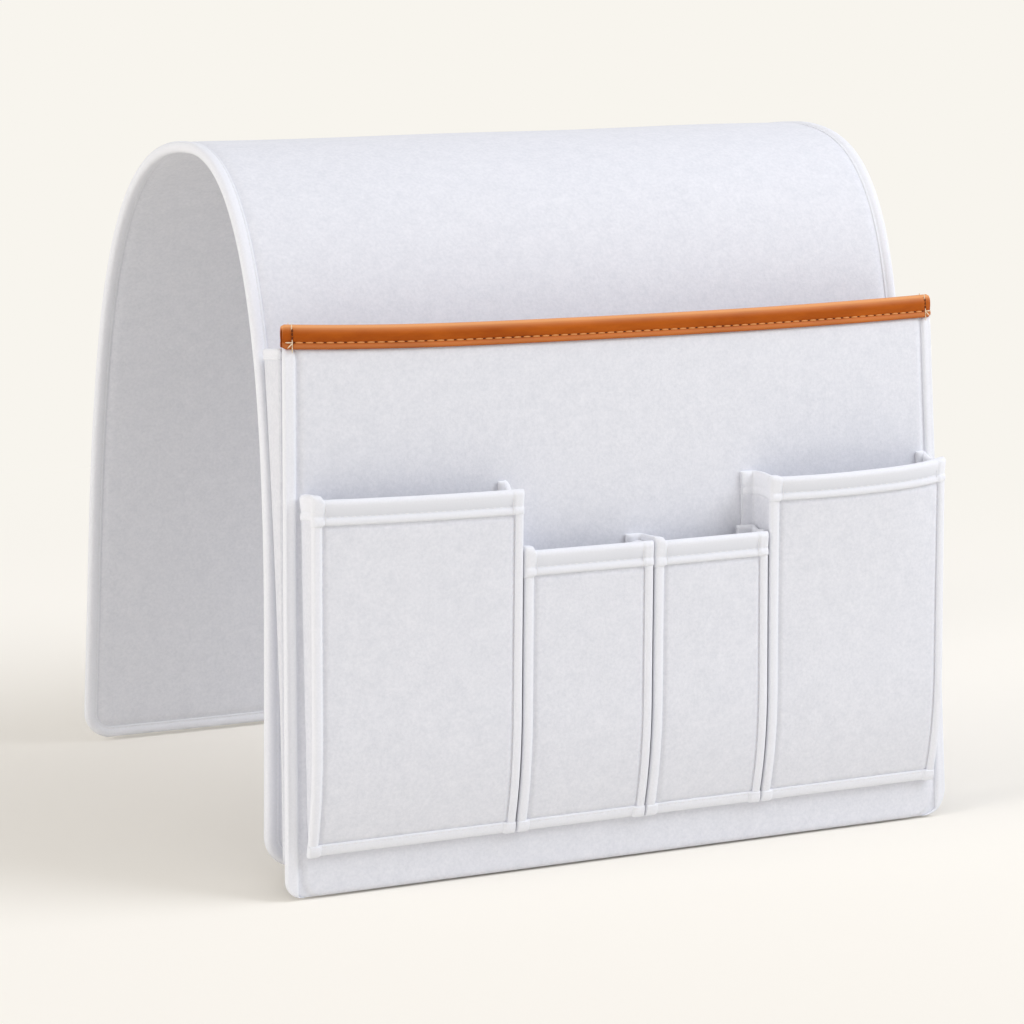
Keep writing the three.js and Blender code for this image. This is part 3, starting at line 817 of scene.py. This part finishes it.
def onPocket(pocket):
    width = pocket["right"] - pocket["left"]
    middle = pocket["left"] + width * pocket["bowAt"]

    def lay(x, z, off=0):
        half = middle - pocket["left"] if x < middle else pocket["right"] - middle
        bow = 1 - min(abs((x - middle) / half), 1) ** 2.4
        rise = max(z - row["low"], 0) / (pocket["top"] - row["low"])
        slope = pocketLift(z + 0.5) - pocketLift(z - 0.5)
        along = math.sqrt(1 + slope ** 2)
        lift = pocketLift(z) + off / along + pocket["bow"] * bow * rise ** 2
        lift += ripple(x, z, 3, 0.25) * min(rise * 3, 1)
        up = mix(*pocket["rise"], (x - pocket["left"]) / width) * rise - pocket["sag"] * bow * rise ** 3
        return onPanel(tapered(pocket, x, z), z - off * slope / along + up, row["offPanel"] + lift)
    return lay


def sleeve(end, rounding, bulge):
    # A tape's end: closed round over the fin, a little fuller there, with a crease beside it.
    close = math.sqrt(max(1 - (1 - min(end / rounding, 1)) ** 2, 0.01))
    crease = sleeveEnd["crease"] * math.exp(-((end - sleeveEnd["creaseAt"]) / sleeveEnd["creaseWidth"]) ** 2)
    return close, bulge * (1 - ease((end - sleeveEnd["fin"]) / sleeveEnd["finOver"])) - crease


pocketCuts = (0.5, 3, 3.8, 4.3, 4.8, 5.3, 6, 7.2, 8.5, 10)
upperCuts = (1, 5, 10.2, 11, 11.6, 12.2, 13, 14.2)
lowerCuts = (0.6, 3, 4.6, 5.2, 5.8, 6.4, 7.4)
tapeCuts = (0, 0.12, 0.4, 0.9, 1.8, 3, 4.2, 4.8, 5.4, 5.9, 6.4, 7)
pocketParts = {}
for name, pocket in pockets.items():
    lay = onPocket(pocket)
    left, right, top = pocket["left"], pocket["right"], pocket["top"]

    def feltShare(x, z):
        # The felt is drawn in by the seams of the fins, the band and the hem.
        sides = min(x - left - pocketFelt["finLeft"], right - x - pocketFelt["finRight"])
        upper = (top - pocketFelt["band"] - z) / pocketFelt["bandOver"]
        lower = (z - row["low"] - pocketFelt["hem"]) / pocketFelt["hemOver"]
        drawn = mix(pocketFelt["drawnSides"], 1, ease(sides / pocketFelt["finOver"]))
        return drawn * mix(pocketFelt["drawnEnds"], 1, ease(min(upper, lower)))

    sheet = cutSheet(
        name + "_sheet", spread(left + 0.8, right - 0.8, 5, pocketCuts),
        [row["low"] + cut for cut in lowerCuts] + spread(row["low"] + 9, top - 16, 4)
        + [top - cut for cut in reversed(upperCuts)],
        lay, pocketFelt["felt"], feltShare,
    )
    edges = {
        "left": seamPath([(left + 0.4, top - 0.8), (left + 0.4, row["low"] + 0.5)], 0, 3),
        "right": seamPath([(right - 0.4, row["low"] + 0.5), (right - 0.4, top - 0.8)], 0, 3),
    }
    fins = [bindEdge(name + "_fin_tape_" + side, edges[side], finTapes[side], lay) for side in edges]

    def bandShare(x, z):
        close, bulge = sleeve(min(x - left, right - x) - bandTape["inset"], 1.8, 0.2)
        return (nearest(bandTape["profile"], top - z) + bulge) * close * fullest

    def bandAt(x, z):
        # Over the left fin the band is caught up with the pleat behind it and stands higher.
        caught = 1 - ease((x - left - bandTape["caughtTo"]) / bandTape["caughtOver"])
        inset = (top - z) / max(bandTape["profile"])
        return lay(x, z + caught * mix(pocket["caught"], bandTape["footDrop"], inset))

    def bandDull(x, z):
        # Painted shade on the band's face, strongest by its seam and left off at the band's ends over the
        # fins.
        return nearest(bandTape["paintedShade"], top - z) * ease((min(x - left, right - x) - 4) / 3)

    band = cutSheet(
        name + "_band", spread(left + bandTape["inset"], right - bandTape["inset"], 5, tapeCuts),
        [top - inset for inset in bandTape["profile"]], bandAt, bandTape["thickness"] / fullest, bandShare,
        paintedShade=bandDull,
    )

    def hemShare(x, z):
        close, bulge = sleeve(min(x - left, right - x) - hemTape["inset"], 0.7, 0.22)
        return (nearest(hemTape["profile"], z - row["low"]) + bulge) * close * fullest

    def hemAt(x, z):
        # The hem's ends lie over the fins and stand off with them.
        end = (min(x - left, right - x) - hemTape["standTo"]) / hemTape["standOver"]
        return lay(x, z, hemTape["standOff"] * (1 - ease(end)))

    hem = cutSheet(
        name + "_hem_tape", spread(left + hemTape["inset"], right - hemTape["inset"], 5, tapeCuts),
        [row["low"] + inset for inset in hemTape["profile"]], hemAt, hemTape["thickness"] / fullest, hemShare,
    )
    stitches = []
    sewn = {top - pocketSeam["band"]: "bandOff", row["low"] + pocketSeam["hem"]: "hemOff"}
    for z, off in sewn.items():
        start, end = (left + pocketSeam["clear"], z), (right - pocketSeam["clear"], z)
        stitches += straightRow(lay, start, end, pocketSeam["pitch"], pocketSeam[off])
    for x in (left + pocketSeam["finLeft"], right - pocketSeam["finRight"]):
        start, end = (x, row["low"] + 7), (x, top - 13)
        stitches += straightRow(lay, start, end, pocketSeam["finPitch"], pocketSeam["finOff"])
    for x in (left + pocketSeam["tackIn"], right - pocketSeam["tackIn"]):
        start, end = (x, top - 11), (x, top - 2.5)
        stitches += straightRow(lay, start, end, pocketSeam["tackPitch"], pocketSeam["tackOff"])
    stitching = sewRow(name + "_stitching", stitches, pocketSeam["stitch"])
    pocketParts[name] = {"sheet": sheet, "fins": fins, "band": band, "hem": hem, "stitching": stitching}

print("pleated sides")
# Each side is a wall from its fin back to the panel and a flange turned along the panel: which way it
# turns, its width, how far it stands off the panel, where the wall meets the panel beside the pocket's
# edge, and how much higher than the band it ends at the flange, at the panel and at the fin.
pleats = {
    "left_tall_pocket": {
        "left": {"turn": 1, "flange": 4, "stand": 1.4, "seam": 1.8, "rise": (-2, 1.5, 1.9)},
        "right": {"turn": -1, "flange": 4.4, "stand": 1.4, "seam": -0.9, "rise": (2, 2.4, -5)},
    },
    "left_short_pocket": {
        "left": {"turn": 1, "flange": 3, "stand": 1.4, "seam": 2.6, "rise": (0, 3.4, 2)},
        "right": {"turn": -1, "flange": 4, "stand": 4, "seam": -1, "rise": (-1, 0, -1.5)},
    },
    "right_short_pocket": {
        "left": {"turn": -1, "flange": 8, "stand": 1.4, "seam": 1, "rise": (2.4, 2.4, 1.9)},
        "right": {"turn": -1, "flange": 9, "stand": 4, "seam": -1, "rise": (2.6, 2.6, 0.6)},
    },
    "right_tall_pocket": {
        "left": {"turn": -1, "flange": 6.8, "stand": 1.4, "seam": 0.8, "rise": (-0.6, -0.6, 0.2)},
        "right": {"turn": -1, "flange": 4.5, "stand": 1.4, "seam": -0.8, "rise": (1.8, 2.1, -1.2)},
    },
}
pleatFelt = {
    "felt": 1.8, "low": 20, "wall": 10.5, "setIn": 2.0, "behindFront": 1.2, "clear": 1.6, "bulge": 0.5,
    "soft": 0.2, "thinLow": 0.35, "thinOver": 12, "cap": 3.1, "capFullest": 0.9, "capRound": 0.35,
}
pleatCuts = [-1, -0.9, -0.7, -0.45, -0.3, -0.2, -0.1, 0, 0.1, 0.2, 0.3, 0.45, 0.6, 0.75, 0.9, 1]
capCuts = [-1, -0.97, -0.9] + pleatCuts[2:]


def onPleat(pocket, side, pleat):
    front = onPocket(pocket)
    inward = 1 if side == "left" else -1
    wall = pocket[side] + pleatFelt["setIn"] * inward
    seam = pocket[side] + pleat["seam"]
    flangeRise, seamRise, finRise = pleat["rise"]

    def folded(t, z):
        # t runs along the flange up to 0 and along the wall from there to 1.
        rise = mix(seamRise, flangeRise, -t) if t < 0 else mix(seamRise, finRise, ease(t / 0.3))
        stand = min(pleat["stand"], pocketLift(z) - pleatFelt["clear"])
        z += rise * max(z - row["low"], 0) / (pocket["top"] - row["low"])
        if t <= 0:
            along = seam - pleat["turn"] * pleat["flange"] * t
            return onPanel(tapered(pocket, along, z), z, row["offPanel"] + stand + 0.3 * t)
        spot = onPanel(tapered(pocket, seam, z), z, row["offPanel"] + stand)
        spot = spot.lerp(front(wall, z, -pleatFelt["behindFront"]), t)
        spot.x += pleatFelt["bulge"] * math.sin(math.pi * t) * inward
        return spot

    def lay(t, z):
        # The fold between flange and wall is soft.
        near = pleatFelt["soft"] * (1 - t * t)
        return (folded(t - near, z) + folded(t, z) * 2 + folded(t + near, z)) / 4
    return lay


def pleatShare(t, z):
    # The cloth thins out where it runs into the hem.
    return mix(pleatFelt["thinLow"], 1, ease((z - pleatFelt["low"]) / pleatFelt["thinOver"]))


pleatParts = {}
for name, sides in pleats.items():
    pocket = pockets[name]
    top = pocket["top"]
    for side, pleat in sides.items():
        lay = onPleat(pocket, side, pleat)
        cloth = cutSheet(
            name + "_pleat_" + side, pleatCuts, spread(pleatFelt["low"], top - 1, 6), lay,
            pleatFelt["felt"], pleatShare,
        )

        def capShare(t, z):
            close = math.sqrt(max(1 - (1 - min((t + 1) / pleatFelt["capRound"], 1)) ** 2, 0.02))
            return nearest(bandTape["profile"], top - z) * close * pleatFelt["capFullest"]

        cap = cutSheet(
            name + "_pleat_cap_" + side, capCuts, [top - inset for inset in bandTape["profile"]], lay,
            pleatFelt["cap"] / pleatFelt["capFullest"], capShare,
        )
        pleatParts[name, side] = (cloth, cap)

print("looks")
for piece in (saddleSheet, panelSheet, largeFloor):
    dress(piece, felt)
for piece in (saddleBinding, *panelTapes.values()):
    dress(piece, tape)
dress(saddleStitching, whiteThread)
dress(mouthLeather, leather)
dress(leatherStitching, tanThread)
dress(leatherHoles, holeDark)
dress(leatherTacks, creamThread)

print("riding")
for piece in (saddleSheet, saddleBinding, saddleStitching):
    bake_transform(piece)
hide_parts("saddle_front_felt", "saddle_rear_felt")
for half in ("front", "rear"):
    for edge in ("lower", "left", "right"):
        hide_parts("saddle_" + half + "_binding_" + edge)
for piece in (
    panelSheet, *panelTapes.values(), mouthLeather, leatherStitching, leatherHoles, leatherTacks
):
    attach(piece, "front_panel")
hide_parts("panel_felt")
for side, piece in panelTapes.items():
    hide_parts("panel_binding_" + side)
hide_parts("mouth_leather_trim")
for (cloth, hem), side in zip(largeSides, ("left", "right")):
    for piece in (cloth, hem):
        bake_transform(piece)
    dress(cloth, felt)
    dress(hem, tape)
    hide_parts("main_gusset_" + side)
    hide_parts("main_gusset_hem_" + side)
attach(largeFloor, "saddle_front")
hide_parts("main_pocket_bottom")
for name, parts in pocketParts.items():
    pocket = pockets[name]
    for piece in (parts["sheet"], *parts["fins"], parts["band"], parts["hem"], parts["stitching"]):
        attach(piece, name)
    dress(parts["sheet"], felt)
    for piece in (*parts["fins"], parts["band"], parts["hem"]):
        dress(piece, tape)
    dress(parts["stitching"], whiteThread)
    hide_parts(name + "_front")
    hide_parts(name + "_fin_left")
    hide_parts(name + "_fin_right")
    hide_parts(name + "_top_band")
    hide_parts(name + "_hem")
    for side in ("left", "right"):
        cloth, cap = pleatParts[name, side]
        for piece in (cloth, cap):
            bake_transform(piece)
        dress(cloth, felt)
        dress(cap, tape)
        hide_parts(name + "_gusset_" + side)
        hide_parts(name + "_gusset_cap_" + side)
seamOwners = (
    ("left_tall_pocket", "left"), ("left_tall_pocket", "right"), ("left_short_pocket", "right"),
    ("right_tall_pocket", "left"), ("right_tall_pocket", "right"),
)
for seam, owner in enumerate(seamOwners, 1):
    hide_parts("pleat_seam_" + str(seam))

print("studio")
studio = {
    "backdrop": "#F8F5EE", "floor": "#F9F6EF", "clearFrom": 0.2, "clearTo": 1.1, "underFoot": 1.1,
    "sky": "#FEFCFB", "ambient": 0.65,
}
lamps = {
    "right_softbox": {"place": (1.3, -0.96, 1.44), "target": (0, 0, 0.1), "watts": 22, "shade": "#F2F6FF"},
    "left_fill": {"place": (-2.3, -0.4, 0.7), "target": (0, 0, 0.15), "watts": 15.5, "shade": "#FFFAF4"},
}
softboxSize = 1.4
view = {"place": (-0.59602, -1.31837, 0.38319), "aim": (-0.05469, -0.13954, 0.16151), "lens": 102.685}
bpy.ops.mesh.primitive_plane_add(size=60, location=(0, 0, (panel["foot"] - studio["underFoot"]) * mm))
floor = bpy.context.object
floor.name = "floor"
bpy.ops.object.transform_apply(location=True, rotation=True, scale=True)
# Pale floor: matt cream that keeps the shadow near the caddy and fades into the backdrop's colour.
floorLook = newMaterial("pale_studio_floor")
tree = floorLook.node_tree
place = addNode(tree, "ShaderNodeTexCoord").outputs["Object"]
distance = addNode(tree, "ShaderNodeVectorMath", {"operation": "LENGTH"}, {0: place})
far = addNode(
    tree, "ShaderNodeMapRange",
    {"interpolation_type": "SMOOTHSTEP", "From Min": studio["clearFrom"], "From Max": studio["clearTo"]},
    {"Value": distance.outputs["Value"]},
)
rays = addNode(tree, "ShaderNodeLightPath")
seen = addNode(
    tree, "ShaderNodeMath", {"operation": "MAXIMUM"},
    {0: rays.outputs["Is Camera Ray"], 1: rays.outputs["Is Glossy Ray"]},
)
seen = addNode(
    tree, "ShaderNodeMath", {"operation": "MAXIMUM"},
    {0: seen.outputs["Value"], 1: rays.outputs["Is Transmission Ray"]},
)
clear = addNode(
    tree, "ShaderNodeMath", {"operation": "MULTIPLY"},
    {0: seen.outputs["Value"], 1: far.outputs["Result"]},
)
matt = addNode(tree, "ShaderNodeBsdfDiffuse", {"Color": paint(studio["floor"]), "Roughness": 1})
glow = addNode(tree, "ShaderNodeEmission", {"Color": paint(studio["backdrop"]), "Strength": 1})
both = addNode(
    tree, "ShaderNodeMixShader", {},
    {0: clear.outputs["Value"], 1: matt.outputs["BSDF"], 2: glow.outputs["Emission"]},
)
addNode(tree, "ShaderNodeOutputMaterial", {}, {"Surface": both.outputs["Shader"]})
dress(floor, floorLook)

world = bpy.data.worlds.new("studio")
bpy.context.scene.world = world
world.use_nodes = True
tree = world.node_tree
tree.nodes.clear()
rays = addNode(tree, "ShaderNodeLightPath")
soft = addNode(
    tree, "ShaderNodeBackground", {"Color": paint(studio["sky"]), "Strength": studio["ambient"]}
)
backdrop = addNode(
    tree, "ShaderNodeBackground", {"Color": paint(studio["backdrop"]), "Strength": 1}
)
both = addNode(
    tree, "ShaderNodeMixShader", {},
    {0: rays.outputs["Is Camera Ray"], 1: soft.outputs[0], 2: backdrop.outputs[0]},
)
addNode(tree, "ShaderNodeOutputWorld", {}, {"Surface": both.outputs["Shader"]})

for name, lamp in lamps.items():
    bpy.ops.object.light_add(type="AREA", location=lamp["place"])
    light = bpy.context.object
    light.name = name
    light.data.shape = "DISK"
    light.data.size = softboxSize
    light.data.energy = lamp["watts"]
    light.data.color = paint(lamp["shade"])[:3]
    heading = Vector(lamp["target"]) - Vector(lamp["place"])
    light.rotation_euler = heading.to_track_quat("-Z", "Y").to_euler()

bpy.ops.object.camera_add(location=view["place"])
camera = bpy.context.object
heading = Vector(view["aim"]) - camera.location
camera.rotation_euler = heading.to_track_quat("-Z", "Y").to_euler()
camera.data.sensor_fit = "HORIZONTAL"
camera.data.sensor_width = 36
camera.data.lens = view["lens"]
bpy.context.scene.camera = camera
bpy.context.scene.view_settings.view_transform = "Standard"

print("done")
